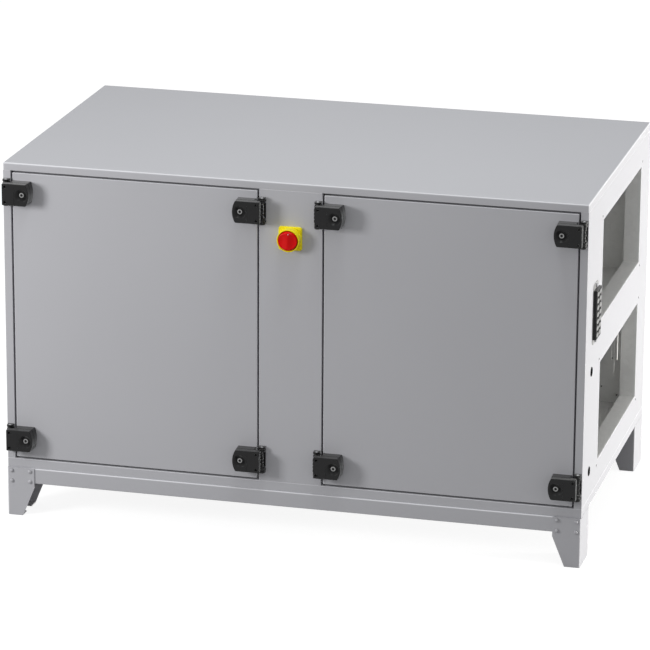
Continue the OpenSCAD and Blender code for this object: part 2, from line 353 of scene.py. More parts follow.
# Floor panel: an insulated double-skin panel whose coated rim shows all round the casing's foot.
# Its inner skin is galvanised sheet, and the other panels stand on it.
sill = 24 * mm
lip = 20 * mm
panel = 42 * mm
rebate = 25 * mm
rim_round = 1.5 * mm
skin_round = 1.5 * mm
zinc_pale = (0.83, 0.83, 0.82, 1.0)
zinc_deep = (0.77, 0.77, 0.76, 1.0)

zinc, spot = new_finish("galvanised_sheet")
cells = {"Vector": spot, "Scale": 85.0, "Randomness": 1.0}
spangle = spot.node("ShaderNodeTexVoronoi", {}, cells, out=1)
crystal = spangle.node("ShaderNodeSeparateColor", {}, {"Color": spangle})
smudge = noise(spot, 9.0, 4.0)
dress(zinc, {
    "Base Color": blend(0.65 * crystal + 0.35 * smudge, zinc_deep, zinc_pale),
    "Metallic": 0.25,
    "Roughness": 0.36 + 0.16 * crystal + 0.08 * smudge,
    "Normal": relief(crystal, 0.0001, 0.15),
})

casing_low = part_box("floor_panel")[0]
casing_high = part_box("top_panel")[1]
front_y = casing_low.y
rear_y = casing_high.y
left_x = casing_low.x
right_x = casing_high.x
base_z = casing_low.z
top_z = casing_high.z
inner_low = (left_x + panel, front_y + rebate)
inner_high = (right_x - panel, rear_y - panel)

put("floor_rim", [slab(casing_low, (right_x, rear_y, base_z + sill), rim_round)],
    paint, nodes=["floor_panel"])
put("floor_skin", [slab((*inner_low, base_z + sill), (*inner_high, base_z + panel), skin_round)],
    zinc)


# End panels: coated outside and galvanised inside, with two duct openings each, lined with folded sheet.
# Small holes outside the openings' corners take a duct's screws. Black rubber sleeves line these and the
# right end's two larger cable holes, and their black also stands in for the shade inside the holes; the
# cable holes carry a rubber grommet as well.
edge_round = 1.5 * mm
edge_corner = 0.4 * mm
hole_round = 0.7 * mm
duct_round, duct_corner, least_corner = 1.5 * mm, 0.6 * mm, 0.2 * mm
duct_low_y, duct_high_y = 200 * mm, 730 * mm
duct_heights = ((218 * mm, 476 * mm), (588 * mm, 846 * mm))
duct_hole_r = 3.5 * mm
duct_hole_out = 12 * mm
cable_hole_r = 11 * mm
cable_hole_y = 83 * mm
cable_hole_z = (226 * mm, 487 * mm)
skin, skin_corner = 0.8 * mm, 1 * mm
reveal_start, sleeve_start, lining_end = 1.5 * mm, 0.3 * mm, panel - 1 * mm

black, spot = new_finish("moulded_black")
grain = noise(spot, 1500.0, 2.0)
sheen = noise(spot, 25.0, 3.0)
dress(black, {
    "Base Color": blend(sheen, (0.005, 0.005, 0.0055, 1.0), (0.009, 0.009, 0.0095, 1.0)),
    "Roughness": 0.27 + 0.08 * sheen + 0.05 * grain,
    "Normal": relief(grain, 0.00006, 0.2),
    "Specular IOR Level": 0.22,
    "Sheen Weight": 0.85,
    "Sheen Roughness": 0.28,
})

rubber, spot = new_finish("foam_rubber")
pores = spot.node("ShaderNodeTexVoronoi", {}, {"Vector": spot, "Scale": 900.0})
bloom = noise(spot, 40.0, 3.0)
dress(rubber, {
    "Base Color": blend(bloom, (0.006, 0.006, 0.006, 1.0), (0.012, 0.012, 0.0125, 1.0)),
    "Roughness": 0.72 + 0.12 * bloom,
    "Normal": relief(pores, 0.0003, 0.5),
    "Specular IOR Level": 0.15,
})


def round_loop(centre, radius, count):
    """Closed line round a circle."""
    angle = np.linspace(0, 2 * math.pi, count, endpoint=False)
    return np.array(centre) + radius * np.stack([np.cos(angle), np.sin(angle)], -1)


def raised(loop, height):
    """Flat line lifted to a height: its two coordinates and the height become local X, Y and Z."""
    return np.column_stack([loop, np.full(len(loop), height)])


def pierced_face(loops, height):
    """Flat face inside the first line and outside the others, cut into triangles."""
    points = [raised(loop, height) for loop in loops]
    triangles = tessellate_polygon([[Vector(point) for point in line] for line in points])
    return np.concatenate(points), [np.array(triangles)]


def rim(radius, steps=5):
    """Quarter circle over a rim, as pairs: radius (1 - cos t) and radius (1 - sin t)."""
    turn = np.linspace(0, math.pi / 2, steps)
    return list(zip(radius * (1 - np.cos(turn)), radius * (1 - np.sin(turn))))


def bored(lines, depth, radius):
    """Wall of a hole from the face at 0 down to depth: lines(r) is the hole's line widened by r, and a
    quarter circle of this radius eases both of its rims."""
    ease = rim(radius, 4)
    rings = [raised(lines(widen), -fall) for fall, widen in ease]
    rings += [raised(lines(widen), -depth + fall) for fall, widen in ease[::-1]]
    return loft(rings, caps=(False, False))


def sheet(loops, thickness):
    """Flat sheet with openings: its face at 0, the same face at thickness, and a wall along each line."""
    faces = [pierced_face(loops, height) for height in (0, thickness)]
    walls = [loft([raised(loop, 0), raised(loop, thickness)], caps=(False, False)) for loop in loops]
    return joined(faces + walls)


def sleeve(lines, wall, start, depth):
    """Lining of a hole: its line shrunk by wall runs in from start to depth and back along the hole."""
    steps = ((0, start), (wall, start), (wall, depth), (0, depth), (0, start))
    return loft([raised(lines(-shrink), -drop) for shrink, drop in steps], caps=(False, False))


def on_end(part, origin, outward=1):
    """Part on an end of the casing: its local X runs to the rear, its Y up and its Z outwards."""
    return aimed(part, origin, (0, 1, 0), (0, 0, 1), (outward, 0, 0))


def end_panel(name, node, holes, outward):
    """Panel of L-shaped section with its openings, the two duct openings first: the rim's line eases over
    a quarter circle to the outer face, steps in behind the door's rebate and closes at the inner face;
    each hole adds its own wall and lining."""
    low_z, high_z = base_z + sill, top_z - lip
    depth = rear_y - front_y
    rings = []
    for inset, drop in rim(edge_round):
        loop = rect_loop((inset, low_z + inset), (depth - inset, high_z - inset), edge_corner)
        rings.insert(0, raised(loop, -drop))
    loops = [rect_loop((start, low_z), (depth, high_z), edge_corner) for start in (0, rebate)]
    rings += [raised(loops[0], -lip), raised(loops[1], -lip), raised(loops[1], -panel)]
    mouths = [hole(ease) for hole, ease in holes]
    parts = [loft(rings, caps=(False, False))]
    parts.append(pierced_face([rings[0][:, :2]] + mouths, 0))
    parts.append(pierced_face([loops[1]] + mouths, -panel))
    parts += [bored(hole, panel, ease) for hole, ease in holes]
    face = (right_x if outward > 0 else left_x, front_y, 0)
    put(name, [on_end(joined(parts), face, outward)], paint, nodes=[node])
    inner = rect_loop((rebate, base_z + panel), (depth - panel, top_z - panel), skin_corner)
    inside = (face[0] - outward * panel, front_y, 0)
    put(name + "_skin", [on_end(sheet([inner] + mouths, skin), inside, -outward)], zinc)
    lines = [hole for hole, ease in holes]
    reveals = joined([sleeve(line, skin, reveal_start, lining_end) for line in lines[:2]])
    put(name + "_reveals", [on_end(reveals, face, outward)], zinc)
    # Rubber sleeves in the screw and cable holes, whose black also stands in for the shade inside them.
    shade_linings = joined([sleeve(line, skin, sleeve_start, lining_end) for line in lines[2:]])
    put(name + "_inserts", [on_end(shade_linings, face, outward)], rubber)


def duct_hole(low_z, high_z):
    """Duct opening between two heights, as a function that gives its line widened by a distance."""
    def line(widen):
        """Line round the opening, whose corners grow with it."""
        low, high = (duct_low_y - widen, low_z - widen), (duct_high_y + widen, high_z + widen)
        return rect_loop(low, high, max(duct_corner + widen, least_corner))
    return line


def drilled(y, z, radius):
    """Round hole, as a function that gives its line widened by a distance."""
    return lambda widen: round_loop((y, z), radius + widen, 24)


duct_holes = [(duct_hole(low, high), duct_round) for low, high in duct_heights]
for low, high in duct_heights:
    for y in (duct_low_y - duct_hole_out, duct_high_y + duct_hole_out):
        for z in (low - duct_hole_out, high + duct_hole_out):
            duct_holes.append((drilled(y, z, duct_hole_r), hole_round))
cable_holes = [(drilled(cable_hole_y, z, cable_hole_r), hole_round) for z in cable_hole_z]
end_panel("left_end", "left_end_panel", duct_holes, -1)
end_panel("right_end", "right_end_panel", duct_holes + cable_holes, 1)
grommet_line = ((10.2, -2), (10.2, 1.0), (10.5, 1.3), (11.7, 1.3), (12.2, 0.8), (12.2, -0.3), (10.2, -2))
grommet_rings = [raised(round_loop((0, 0), r * mm, 32), h * mm) for r, h in grommet_line]
grommet = loft(grommet_rings, caps=(False, False))
put("cable_grommets", [on_end(grommet, (right_x, front_y + cable_hole_y, z)) for z in cable_hole_z],
    rubber)


# Rear panels: two insulated panels side by side, galvanised inside, screwed into the rims above and below
# them and into the end panels with hexagonal washer-head screws.
rear_round = 2 * mm
rear_screw_inset = 14 * mm
rear_screws_along = 6
washer_line = ((5.6, -1), (5.6, 0.5), (5.2, 0.9))
hexagon_line = ((3.9, 0.95), (3.9, 3.2), (3.4, 3.6))
inner_round = 0.3 * mm


def hex_line(apothem, count=24):
    """Closed line round a hexagon, sampled at even angles."""
    angle = np.linspace(0, 2 * math.pi, count, endpoint=False)
    reach = apothem / np.cos(np.mod(angle, math.pi / 3) - math.pi / 6)
    return reach[:, None] * np.stack([np.cos(angle), np.sin(angle)], -1)


hex_head = loft([raised(round_loop((0, 0), r * mm, 24), h * mm) for r, h in washer_line]
                + [raised(hex_line(r * mm), h * mm) for r, h in hexagon_line])
steel, spot = new_finish("zinc_plated_steel")
rubbed = noise(spot, 260.0, 3.0)
dress(steel, {
    "Base Color": blend(rubbed, (0.50, 0.50, 0.51, 1.0), (0.68, 0.68, 0.69, 1.0)),
    "Metallic": 1.0,
    "Roughness": 0.24 + 0.16 * rubbed,
    "Normal": relief(rubbed, 0.00005, 0.2),
})
rear_heads = []
for node in ("rear_left_panel", "rear_right_panel"):
    low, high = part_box(node)
    put(node + "_skins", [slab(low, high, rear_round)], paint, nodes=[node])
    xs = np.linspace(low.x + rear_screw_inset, high.x - rear_screw_inset, rear_screws_along)
    zs = np.linspace(low.z + rear_screw_inset, high.z - rear_screw_inset, rear_screws_along)
    spots = [(x, z) for x in xs for z in zs[[0, -1]]] + [(x, z) for x in xs[[0, -1]] for z in zs[1:-1]]
    rear_heads += [aimed(hex_head, (x, high.y, z), (-1, 0, 0), (0, 0, 1), (0, 1, 0)) for x, z in spots]
put("rear_screws", rear_heads, steel)
inside_y = rear_y - panel
middle_x = 0.5 * (left_x + right_x)
for start, end, name in ((left_x + panel, middle_x, "rear_left_inner"),
                         (middle_x, right_x - panel, "rear_right_inner")):
    inner_skin = slab((start, inside_y - skin, base_z + panel), (end, inside_y, top_z - panel), inner_round)
    put(name, [inner_skin], zinc)


# Middle panel: a fixed insulated panel between the doors, folded from coated sheet,
# with a wider galvanised tray behind it against which the doors close.
face_round = 1.2 * mm
low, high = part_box("middle_panel")
lap = panel - lip
face_low = (low.x + lap, low.y, base_z + sill)
face_high = (high.x - lap, low.y + rebate, top_z - lip)
tray_low = (low.x, low.y + rebate, base_z + panel)
tray_high = (high.x, high.y, top_z - panel)
put("middle_panel_face", [slab(face_low, face_high, face_round)], paint,
    nodes=["middle_panel"])
put("middle_panel_tray", [slab(tray_low, tray_high, skin_round)], zinc)


# Deck: a galvanised double-skin shelf between the upper and the lower airway,
# with folded edges, pushed in against the rear panels.
deck_round = 2.5 * mm
put("deck", [slab(*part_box("mid_deck"), deck_round)], zinc, nodes=["mid_deck"])


# Sensor wiring: a flat pale cable and two thin pale leads hang from the deck just inside the right end's
# lower opening. Small dark sensor tips are pushed through the rear wall behind them.
cable_x, cable_y, cable_foot = left_x + 1453.5 * mm, front_y + 702 * mm, 325 * mm
cable_half, cable_deep, cable_round = 1.6 * mm, 3.2 * mm, 0.6 * mm
lead_y, lead_r = front_y + 704 * mm, 0.55 * mm
lead_lines = ((left_x + 1438.4 * mm, 322 * mm), (left_x + 1445.9 * mm, 288 * mm))
tip_spots = ((1423 * mm, 295 * mm), (1437 * mm, 193 * mm), (1396 * mm, 214 * mm))
wall_y = inside_y - skin
deck_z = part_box("mid_deck")[0].z


def gloss(name, deep, pale):
    """Glossy moulded plastic: its colour drifts a little, and a faint flow pattern roughens it."""
    finish, place = new_finish(name)
    flow = noise(place, 60.0, 3.0)
    dress(finish, {
        "Base Color": blend(flow, deep, pale),
        "Roughness": 0.26 + 0.12 * flow,
        "Normal": relief(flow, 0.0001, 0.1),
        "Specular IOR Level": 0.15,
    })
    return finish


white = gloss("pale_plastic", (0.84, 0.83, 0.81, 1.0), (0.90, 0.89, 0.87, 1.0))
wiring = [slab((cable_x - cable_half, cable_y - cable_deep, cable_foot),
               (cable_x + cable_half, cable_y + cable_deep, deck_z), cable_round)]
for x, foot in lead_lines:
    lead = turned([(lead_r * 0.6, foot), (lead_r, foot + 0.4 * mm), (lead_r, deck_z)], 12)
    wiring.append((lead[0] + [x, lead_y, 0], lead[1]))
tip_line = ((1.6, -1), (1.6, 3), (1.2, 3.6), (0.4, 4))
tip = turned([(r * mm, h * mm) for r, h in tip_line], 16)
tips = [aimed(tip, (left_x + x, wall_y, z), (1, 0, 0), (0, 0, 1), (0, -1, 0)) for x, z in tip_spots]
put("sensor_wiring", wiring, white)
put("sensor_tips", tips, rubber)


# Top panel: an insulated panel with a coated rim that shows all round the casing,
# and a galvanised inner skin as the airway's ceiling.
top_round, top_foot = 4 * mm, 0.8 * mm
put("top_rim", [slab((left_x, front_y, top_z - lip), casing_high, top_round, 6, top_foot)],
    paint, nodes=["top_panel"])
put("top_skin", [slab((*inner_low, top_z - panel), (*inner_high, top_z - lip), skin_round)],
    zinc)


# Cable-entry plate: a moulded black frame on a grey plastic flange whose rounded ends are screwed to the
# right end. It holds two columns of soft grey rubber membranes that cables are pushed through.
entry_round, entry_ease, entry_margin = 4 * mm, 0.8 * mm, 2 * mm
bed_rise = 0.3 * mm
flange_reach, flange_side, flange_corner = 15 * mm, 1 * mm, 14 * mm
flange_rise, flange_ease = 1.5 * mm, 0.5 * mm
membrane_rows, membrane_columns = 7, 2
membrane_rim = 2.6 * mm
membrane_rise, membrane_root = 2.0 * mm, 1 * mm

membrane, spot = new_finish("grey_membrane")
chalk = noise(spot, 120.0, 3.0)
dress(membrane, {
    "Base Color": blend(chalk, (0.22, 0.22, 0.22, 1.0), (0.32, 0.32, 0.32, 1.0)),
    "Roughness": 0.42 + 0.2 * chalk,
    "Normal": relief(chalk, 0.0002, 0.2),
    "Specular IOR Level": 0.3,
})

low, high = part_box("cable_entry_plate")
size_y, size_z, proud = high.y - low.y, high.z - low.z, high.x - low.x
face_x = proud - membrane_rise


def entry_line(inset, radius):
    """Rounded outline of the entry frame, moved inwards by inset."""
    return rect_loop((inset, inset), (size_y - inset, size_z - inset), radius)


def oval_dome(centre, half_y, half_z, rise):
    """Oval dome on a face: rings shrink with cos t while they rise by rise sin t, to just below the top."""
    turn = np.linspace(0, math.pi / 2 * 0.94, 7)
    ring = round_loop((0, 0), 1.0, 24) * [half_y, half_z]
    rings = [raised(ring, -membrane_root)]
    rings += [raised(ring * math.cos(t), rise * math.sin(t)) for t in turn]
    part = loft(rings)
    return part[0] + np.array(centre), part[1]


frame_rings = [raised(entry_line(0, entry_round), 0)]
for inset, drop in rim(entry_ease):
    frame_rings.append(raised(entry_line(inset, entry_round - inset), face_x - drop))
put("cable_entry_frame", [on_end(loft(frame_rings), low)],
    black, nodes=["cable_entry_plate"])
bed_low = (entry_margin, entry_margin, entry_margin)
bed_high = (size_y - entry_margin, size_z - entry_margin, face_x + bed_rise)
put("cable_entry_bed", [on_end(slab(bed_low, bed_high, bed_rise), low)], rubber)
cell_y = (size_y - 2 * entry_margin) / membrane_columns
cell_z = (size_z - 2 * entry_margin) / membrane_rows
domes = []
for column in range(membrane_columns):
    for row in range(membrane_rows):
        centre = (entry_margin + (column + 0.5) * cell_y, entry_margin + (row + 0.5) * cell_z, face_x)
        half_y, half_z = cell_y / 2 - membrane_rim, cell_z / 2 - membrane_rim
        domes.append(oval_dome(centre, half_y, half_z, membrane_rise))
put("cable_entry_membranes", [on_end(joined(domes), low)], membrane)
flange_rings = []
for inset, height in ((0, -flange_ease), (0, flange_rise - flange_ease), (flange_ease, flange_rise)):
    flange_low = (inset - flange_side, inset - flange_reach)
    flange_high = (size_y + flange_side - inset, size_z + flange_reach - inset)
    flange_rings.append(raised(rect_loop(flange_low, flange_high, flange_corner - inset, 8), height))
grey = gloss("grey_plastic", (0.30, 0.30, 0.30, 1.0), (0.36, 0.36, 0.36, 1.0))
put("cable_entry_flange", [on_end(loft(flange_rings), low)], grey)
entry_heads = []
for z in (low.z - flange_reach / 2, high.z + flange_reach / 2):
    entry_heads.append(on_end(dome, (low.x + flange_rise, (low.y + high.y) / 2, z)))
put("cable_entry_screws", entry_heads, paint, folded=False)


# Doors: each a folded and coated outer leaf, a galvanised inner tray behind it, and a foam-rubber gasket
# stuck to the leaf's inside, which closes against the casing's rebate.
leaf_round = 1.8 * mm
core_round = 3 * mm
gasket_width, gasket_foot = 9 * mm, 0.2 * mm
gasket_corner = 4.2 * mm


def gasket(node, leaf_y):
    """D-shaped strip round the door: its half-oval section stands on the leaf and is carried round a
    rectangle with rounded corners."""
    low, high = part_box(node)
    turn = np.linspace(0, math.pi, 9)
    thick = high.y - low.y
    oval = gasket_width / 2 * (1 - np.cos(turn))
    across = np.concatenate([oval, [gasket_width - gasket_foot, gasket_foot]])
    proud = np.concatenate([thick * np.sin(turn) ** 0.5, [0, 0]])
    lines = []
    for inset, rise in zip(across, proud):
        loop = rect_loop((low.x + inset, low.z + inset), (high.x - inset, high.z - inset), gasket_corner)
        lines.append(np.column_stack([loop[:, 0], np.full(len(loop), leaf_y + rise), loop[:, 1]]))
    rings = np.stack(lines + lines[:1])
    return rings.reshape(-1, 3), [grid_quads(*rings.shape[:2])]


for door in ("left_door", "right_door"):
    put(door + "_shell", [slab(*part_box(door + "_leaf"), leaf_round, 5)],
        paint, door, [door + "_leaf"])
    put(door + "_tray", [slab(*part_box(door + "_core"), core_round)],
        zinc, door, [door + "_core"])
    put(door + "_seal", [gasket(door + "_gasket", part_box(door + "_leaf")[1].y)],
        rubber, door, [door + "_gasket"])


# Hinge locks: moulded and ribbed black brackets on the casing hold plated pins. Covers on the door carry
# a knuckle or a claw for the pin, a dished cast lock with a hexagonal socket, and two screws sunk in deep
# holes. A fine groove down the face of each cover marks off its lid.
cover_lap, cover_reach, cover_half, cover_proud = 13 * mm, 57 * mm, 28 * mm, 40 * mm
cover_end_r, cover_flare = 54 * mm, 0.7
cover_corner, corner_shrink = 2.2 * mm, 0.6
cover_ease, cover_tuck = 1.5 * mm, 0.6 * mm
under_left, under_proud = 4 * mm, 22.5 * mm
parting_low, parting_high, parting_flank, parting_depth = 20.6 * mm, 22 * mm, 0.3 * mm, 0.6 * mm
lock_u = 38 * mm
dish_r, dish_floor_r, dish_floor = 16.8 * mm, 8.5 * mm, 32 * mm
dish_steps = ((0, 0), (0.5, 0.25), (1, 0.8))
cover_screw_u, cover_screw_z, cover_screw_r = -5 * mm, 20 * mm, 4.2 * mm
well_steps = ((0, 0), (0.4, 0.4), (0.5, 15))
screw_seat = cover_proud - 14 * mm
groove_low, groove_high = (18.9 * mm, -24 * mm), (19.9 * mm, 17 * mm)
groove_depth, groove_corner = 0.8 * mm, 0.3 * mm
pin_u, pin_proud, pin_r = -12 * mm, 8.7 * mm, 4 * mm
pin_below, pin_above = 0.6 * mm, 0.8 * mm
pin_end = ((1.2, 0), (3.0, 0.3), (4.0, 1.2))
knuckle_r, door_knuckle_r, door_knuckle_half = 8.5 * mm, 6.5 * mm, 18 * mm
knuckle_ease, bore_play, bore_depth = 0.9 * mm, 0.3 * mm, 1.6 * mm
bracket_low, bracket_high, knuckle_gap = -36 * mm, 33 * mm, 19 * mm
bracket_plate, bracket_round = 1.6 * mm, 0.6 * mm
rib_depth = 1.5 * mm
eye_ease = 0.6 * mm
web_root, web_round = 1 * mm, 0.8 * mm
claw_half, claw_ribs, claw_rib_half, claw_rib_round = 17.5 * mm, 4, 3.7 * mm, 0.6 * mm
claw_reach, claw_overlap, claw_play = 6.5 * mm, 2 * mm, 0.6 * mm
barrel_line = ((6.3, -1), (6.3, 2.4), (5.9, 2.9), (5.4, 3))
socket_half, socket_heights = 3.5 * mm, (3, -4)
head_line = ((3.4, -1), (3.4, 1.4), (2.8, 2.2), (1.4, 2.2), (1.2, 1))

cast, spot = new_finish("cast_zinc")
tarnish = noise(spot, 220.0, 3.0)
dress(cast, {
    "Base Color": blend(tarnish, (0.21, 0.21, 0.21, 1.0), (0.32, 0.32, 0.32, 1.0)),
    "Metallic": 0.85,
    "Roughness": 0.34 + 0.18 * tarnish,
    "Normal": relief(tarnish, 0.0001, 0.25),
})


def eased_corner(before, corner, after, reach, steps=4):
    """Short curve in place of a corner: a quadratic curve between points this far along both sides."""
    before, corner, after = np.array(before), np.array(corner), np.array(after)
    start = corner + reach * (before - corner) / np.linalg.norm(before - corner)
    end = corner + reach * (after - corner) / np.linalg.norm(after - corner)
    t = np.linspace(0, 1, steps)[:, None]
    return (1 - t) ** 2 * start + 2 * t * (1 - t) * corner + t ** 2 * end


def cover_line(left, inset, height):
    """Outline of a cover seen from the front: two straight sides, a straight end over the casing and an arc
    over the door, all moved inwards by inset, with eased corners; the arc is flatter nearer to the door."""
    half = cover_half - inset
    end_r = cover_end_r + cover_flare * (cover_proud - height)
    tip = math.asin(half / end_r)
    swing = np.linspace(-tip, tip, 25)
    arc = np.stack([cover_reach - inset - end_r + end_r * np.cos(swing), end_r * np.sin(swing)], -1)
    low_left, high_left = (left + inset, -half), (left + inset, half)
    reach = cover_corner - corner_shrink * inset
    return np.concatenate([
        eased_corner(high_left, low_left, arc[0], reach),
        eased_corner(low_left, arc[0], arc[1], reach),
        arc[2:-2],
        eased_corner(arc[-2], arc[-1], high_left, reach),
        eased_corner(arc[-1], high_left, low_left, reach),
    ])


def cover_parts():
    """Cover: its outline climbs from the door, keeps a fine parting groove, steps out over the bracket and
    eases to the front face, which the lock's dish, two screw holes and the lid's fine groove pierce."""
    stations = [(under_left, 0, 0), (under_left, 0, parting_low),
                (under_left, parting_depth, parting_low + parting_flank),
                (under_left, parting_depth, parting_high - parting_flank),
                (under_left, 0, parting_high), (under_left, 0, under_proud),
                (-cover_lap, cover_tuck, under_proud), (-cover_lap, 0, under_proud + cover_tuck)]
    stations += [(-cover_lap, inset, cover_proud - drop) for inset, drop in rim(cover_ease)]
    rings = [raised(cover_line(*station), station[2]) for station in stations]
    dish = [(dish_r - inset * mm, cover_proud - drop * mm) for inset, drop in dish_steps]
    dish.append((dish_floor_r, dish_floor))
    dish_rings = [raised(round_loop((lock_u, 0), r, 48), h) for r, h in dish]
    well = [(cover_screw_r - inset * mm, cover_proud - drop * mm) for inset, drop in well_steps]
    wells = []
    for z in (-cover_screw_z, cover_screw_z):
        wells.append([raised(round_loop((cover_screw_u, z), r, 20), h) for r, h in well])
    groove_line = rect_loop(groove_low, groove_high, groove_corner)
    wells.append([raised(groove_line, cover_proud), raised(groove_line, cover_proud - groove_depth)])
    openings = [dish_rings[0][:, :2]] + [rings_of[0][:, :2] for rings_of in wells]
    shells = [loft(rings, (True, False)), loft(dish_rings, (False, True))]
    shells += [loft(rings_of, (False, True)) for rings_of in wells]
    shells.append(pierced_face([rings[-1][:, :2]] + openings, cover_proud))
    return [joined(shells)]


def upright(part):
    """Part turned about a local Z that stands along the pin: its X, Y and Z become u, z and proud."""
    return np.column_stack([part[0][:, 0] + pin_u, part[0][:, 2], pin_proud - part[0][:, 1]]), part[1]


def arch_line(inset):
    """Section of a bracket's knuckle about its pin: a half circle outwards and a square foot."""
    angle = np.linspace(0, 2 * math.pi, 48, endpoint=False)
    tiny = 1e-6
    foot = np.minimum((knuckle_r - inset) / np.maximum(np.abs(np.cos(angle)), tiny),
                      pin_proud / np.maximum(np.abs(np.sin(angle)), tiny))
    reach = np.where(np.sin(angle) > tiny, foot, knuckle_r - inset)
    return reach[:, None] * np.stack([np.cos(angle), np.sin(angle)], -1)


def ribbed(low, high, ribs):
    """Heights and insets of a ribbed length: ribs and grooves of one width, with steep flanks."""
    edges = np.linspace(low, high, 2 * ribs)
    flank = 0.25 * (edges[1] - edges[0])
    heights = np.concatenate([[start, end - flank, end, next_start - flank] for start, end, next_start in
                              zip(edges[0:-2:2], edges[1:-1:2], edges[2::2])] + [edges[-2:]])
    insets = np.concatenate([np.tile([0, 0, rib_depth, rib_depth], ribs - 1), [0, 0]])
    return list(zip(heights, insets))


def bracket_knuckle(low, high):
    """Knuckle from low to high along the pin: its section is carried up over ribs, with eased ends and a
    shallow bore in each."""
    bore = round_loop((0, 0), pin_r + bore_play, 48)
    ease = knuckle_ease
    rings = [raised(bore, low + bore_depth), raised(bore, low), raised(arch_line(ease), low)]
    rings += [raised(arch_line(inset), height) for height, inset in ribbed(low + ease, high - ease, 2)]
    rings += [raised(arch_line(ease), high), raised(bore, high), raised(bore, high - bore_depth)]
    return upright(loft(rings))


def bracket_parts():
    """Bracket: a thin base plate with a ribbed knuckle at each end."""
    plate_low = (pin_u - knuckle_r, bracket_low, 0)
    plate_high = (pin_u + knuckle_r, bracket_high, bracket_plate)
    return [slab(plate_low, plate_high, bracket_round), bracket_knuckle(knuckle_gap, bracket_high),
            bracket_knuckle(bracket_low, -knuckle_gap)]


def pin_parts():
    """Pin: a plated rod with eased and slightly domed ends that show in the bracket's bores."""
    low, high = bracket_low - pin_below, bracket_high + pin_above
    profile = [(r * mm, low + rise * mm) for r, rise in pin_end]
    profile += [(r * mm, high - rise * mm) for r, rise in pin_end[::-1]]
    return [upright(turned(profile))]


def knuckle_parts():
    """Door's knuckle: a ribbed round eye on the pin and the web that joins it to the cover."""
    half, end_r = door_knuckle_half, door_knuckle_r - eye_ease
    ribs = ribbed(eye_ease - half, half - eye_ease, 3)
    profile = [(door_knuckle_r - inset, height) for height, inset in ribs]
    eye = upright(turned([(end_r, -half)] + profile + [(end_r, half)]))
    web_low = (pin_u, -half, pin_proud - door_knuckle_r)
    web_high = (under_left + web_root, half, under_proud + web_root)
    return [eye, slab(web_low, web_high, web_round)]


def claw_parts():
    """Catch's claw: a row of ribs under the cover that rest in front of the pin when the door is shut."""
    half = claw_half
    foot = pin_proud + pin_r + claw_play
    web_low = (pin_u + web_root, -half, foot)
    web_high = (under_left + web_root, half, under_proud + web_root)
    parts = [slab(web_low, web_high, web_round)]
    for z in np.linspace(claw_rib_half - half, half - claw_rib_half, claw_ribs):
        rib_low = (pin_u - claw_reach, z - claw_rib_half, foot)
        rib_high = (pin_u + claw_overlap, z + claw_rib_half, under_proud)
        parts.append(slab(rib_low, rib_high, claw_rib_round))
    return parts


def lock_parts():
    """Lock: a round cast barrel whose face closes in on a hexagonal socket, and the two screw heads that
    sit in the cover's deep holes."""
    rings = [raised(round_loop((0, 0), r * mm, 48), dish_floor + h * mm) for r, h in barrel_line]
    rings += [raised(hex_line(socket_half, 48), dish_floor + h * mm) for h in socket_heights]
    barrel = loft(rings)
    parts = [(barrel[0] + [lock_u, 0, 0], barrel[1])]
    head = turned([(r * mm, h * mm) for r, h in head_line])
    for z in (-cover_screw_z, cover_screw_z):
        parts.append((head[0] + [cover_screw_u, z, screw_seat], head[1]))
    return parts


def at_locks(parts, covers, toward):
    """Copies of parts at the two hinge locks of a node of covers; local X runs towards the door."""
    low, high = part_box(covers)
    gap_x = high.x - cover_reach if toward > 0 else low.x + cover_reach
    return [aimed(part, (gap_x, front_y, z), (toward, 0, 0), (0, 0, 1), (0, -1, 0))
            for z in (low.z + cover_half, high.z - cover_half) for part in parts]


for door, toward in (("left", 1), ("right", -1)):
    locks = []
    for kind, way in (("hinge", toward), ("catch", -toward)):
        covers = f"{door}_{kind}_covers"
        grips = knuckle_parts() if kind == "hinge" else claw_parts()
        put(f"{door}_{kind}_bracket_pair", at_locks(bracket_parts(), covers, way),
            black, nodes=[f"{door}_{kind}_brackets"])
        put(f"{door}_{kind}_pin_pair", at_locks(pin_parts(), covers, way),
            steel, nodes=[f"{door}_{kind}_pins"])
        put(f"{door}_{kind}_cover_pair", at_locks(cover_parts() + grips, covers, way),
            black, f"{door}_door", [covers])
        locks += at_locks(lock_parts(), covers, way)
    put(f"{door}_lock_set", locks, cast, f"{door}_door", [f"{door}_door_locks"])


# Main switch: a glossy yellow plate with a raised collar, screwed to the middle panel, and a red knob with
# a grip across its face that turns inside the collar. A small pale mark is set in the grip's upper end.
plate_side, plate_t, plate_corner, plate_ease = 60 * mm, 6 * mm, 6 * mm, 1.6 * mm
collar_line = ((29, 4), (29, 26.4), (28.8, 27.2), (28.3, 27.8), (27.6, 28), (26.7, 27.9), (26.1, 27.5),
               (25.7, 26.8), (25.5, 26), (25.5, 6.2))
knob_face, grip_rise, scoop = 31 * mm, 4 * mm, 2 * mm
face_r, fade_r, fade_band = 22.7 * mm, 23.5 * mm, 2.2 * mm
ridge, spread, flank = 2 * mm, 20 * mm, 16 * mm
skirt_line = ((23.7, 6.7), (24.1, 7.4), (24.1, 29.4), (23.9, 30.2), (23.4, 30.8))

yellow = gloss("switch_yellow", (0.93, 0.78, 0.012, 1.0), (0.98, 0.85, 0.020, 1.0))
red = gloss("switch_red", (0.66, 0.001, 0.001, 1.0), (0.76, 0.003, 0.003, 1.0))

low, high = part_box("switch_plate")
switch_place = ((low.x + high.x) / 2, high.y, (low.z + high.z) / 2)


def on_switch(part):
    """Part whose local Z runs out of the middle panel along the switch's axis."""
    return aimed(part, switch_place, (1, 0, 0), (0, 0, 1), (0, -1, 0))


